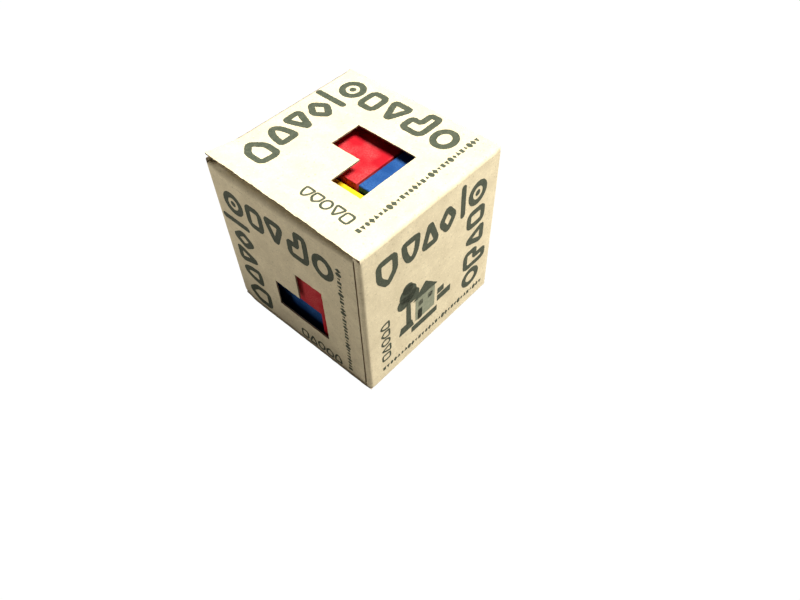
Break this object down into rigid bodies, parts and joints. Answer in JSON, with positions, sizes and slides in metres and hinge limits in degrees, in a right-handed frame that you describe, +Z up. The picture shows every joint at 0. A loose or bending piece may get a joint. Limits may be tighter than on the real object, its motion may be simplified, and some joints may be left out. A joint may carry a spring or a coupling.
{
  "type": "boxed wooden cube puzzle",
  "caption": "Small greyboard tuck-end carton with L-shaped windows in its lid and front, holding a painted wooden polycube puzzle that packs into a cube.",
  "frame": {"origin": "centre of the base, on the surface that the carton stands on", "axes": "+Z up; -Y out of the front wall with its window; +X out of the right wall that carries the lid"},
  "size_m": [0.06, 0.0576, 0.0595],
  "materials": {
    "greyboard": "uncoated recycled board with a printed ink layer",
    "red_paint": "satin stain over fine-grained wood",
    "blue_paint": "satin stain over fine-grained wood",
    "yellow_paint": "satin stain over fine-grained wood",
    "green_paint": "satin stain over fine-grained wood",
    "natural_wood": "clear satin wood"
  },
  "bodies": {
    "root": {"front_wall": "greyboard", "back_wall": "greyboard", "right_wall": "greyboard", "left_wall": "greyboard", "glue_flap": "greyboard"},
    "lid": {"lid_panel": "greyboard"},
    "lid_tuck": {"lid_tuck_flap": "greyboard"},
    "top_dust_front": {"top_dust_flap_front": "greyboard"},
    "top_dust_back": {"top_dust_flap_back": "greyboard"},
    "bottom": {"bottom_panel": "greyboard"},
    "bottom_tuck": {"bottom_tuck_flap": "greyboard"},
    "bottom_dust_front": {"bottom_dust_flap_front": "greyboard"},
    "bottom_dust_back": {"bottom_dust_flap_back": "greyboard"},
    "puzzle": {"piece_screw_top": "red_paint", "piece_screw_front": "red_paint", "piece_corner": "blue_paint", "piece_tripod": "blue_paint", "piece_long_hook": "yellow_paint", "piece_zigzag": "natural_wood", "piece_tee": "green_paint"}
  },
  "joints": [
    {"name": "lid_hinge", "type": "hinge", "parent": "root", "child": "lid", "pos_m": [0.03, 0, 0.0595], "axis": [0, 1, 0], "range_deg": [0, 180]},
    {"name": "lid_tuck_crease", "type": "hinge", "parent": "lid", "child": "lid_tuck", "pos_m": [-0.0294, 0, 0.0595], "axis": [0, 1, 0], "range_deg": [0, 36]},
    {"name": "top_dust_front_hinge", "type": "hinge", "parent": "root", "child": "top_dust_front", "pos_m": [0, -0.0288, 0.0578], "axis": [1, 0, 0], "range_deg": [0, 90]},
    {"name": "top_dust_back_hinge", "type": "hinge", "parent": "root", "child": "top_dust_back", "pos_m": [0, 0.0288, 0.0578], "axis": [-1, 0, 0], "range_deg": [0, 90]},
    {"name": "bottom_hinge", "type": "hinge", "parent": "root", "child": "bottom", "pos_m": [-0.03, 0, 0], "axis": [0, 1, 0], "range_deg": [0, 180]},
    {"name": "bottom_tuck_crease", "type": "hinge", "parent": "bottom", "child": "bottom_tuck", "pos_m": [0.0294, 0, 0], "axis": [0, 1, 0], "range_deg": [0, 36]},
    {"name": "bottom_dust_front_hinge", "type": "hinge", "parent": "root", "child": "bottom_dust_front", "pos_m": [0, -0.0288, 0.0014], "axis": [-1, 0, 0], "range_deg": [0, 90]},
    {"name": "bottom_dust_back_hinge", "type": "hinge", "parent": "root", "child": "bottom_dust_back", "pos_m": [0, 0.0288, 0.0014], "axis": [1, 0, 0], "range_deg": [0, 90]},
    {"name": "puzzle_lift", "type": "slide", "parent": "root", "child": "puzzle", "axis": [0, 0, 1], "range_m": [0, 0.0009]}
  ],
  "couplings": [
    {"joint": "lid_tuck_crease", "follows": "lid_hinge", "ratio": 0.2},
    {"joint": "top_dust_front_hinge", "follows": "lid_hinge", "ratio": 0.5},
    {"joint": "top_dust_back_hinge", "follows": "lid_hinge", "ratio": 0.5},
    {"joint": "bottom_tuck_crease", "follows": "bottom_hinge", "ratio": 0.2},
    {"joint": "bottom_dust_front_hinge", "follows": "bottom_hinge", "ratio": 0.5},
    {"joint": "bottom_dust_back_hinge", "follows": "bottom_hinge", "ratio": 0.5}
  ]
}
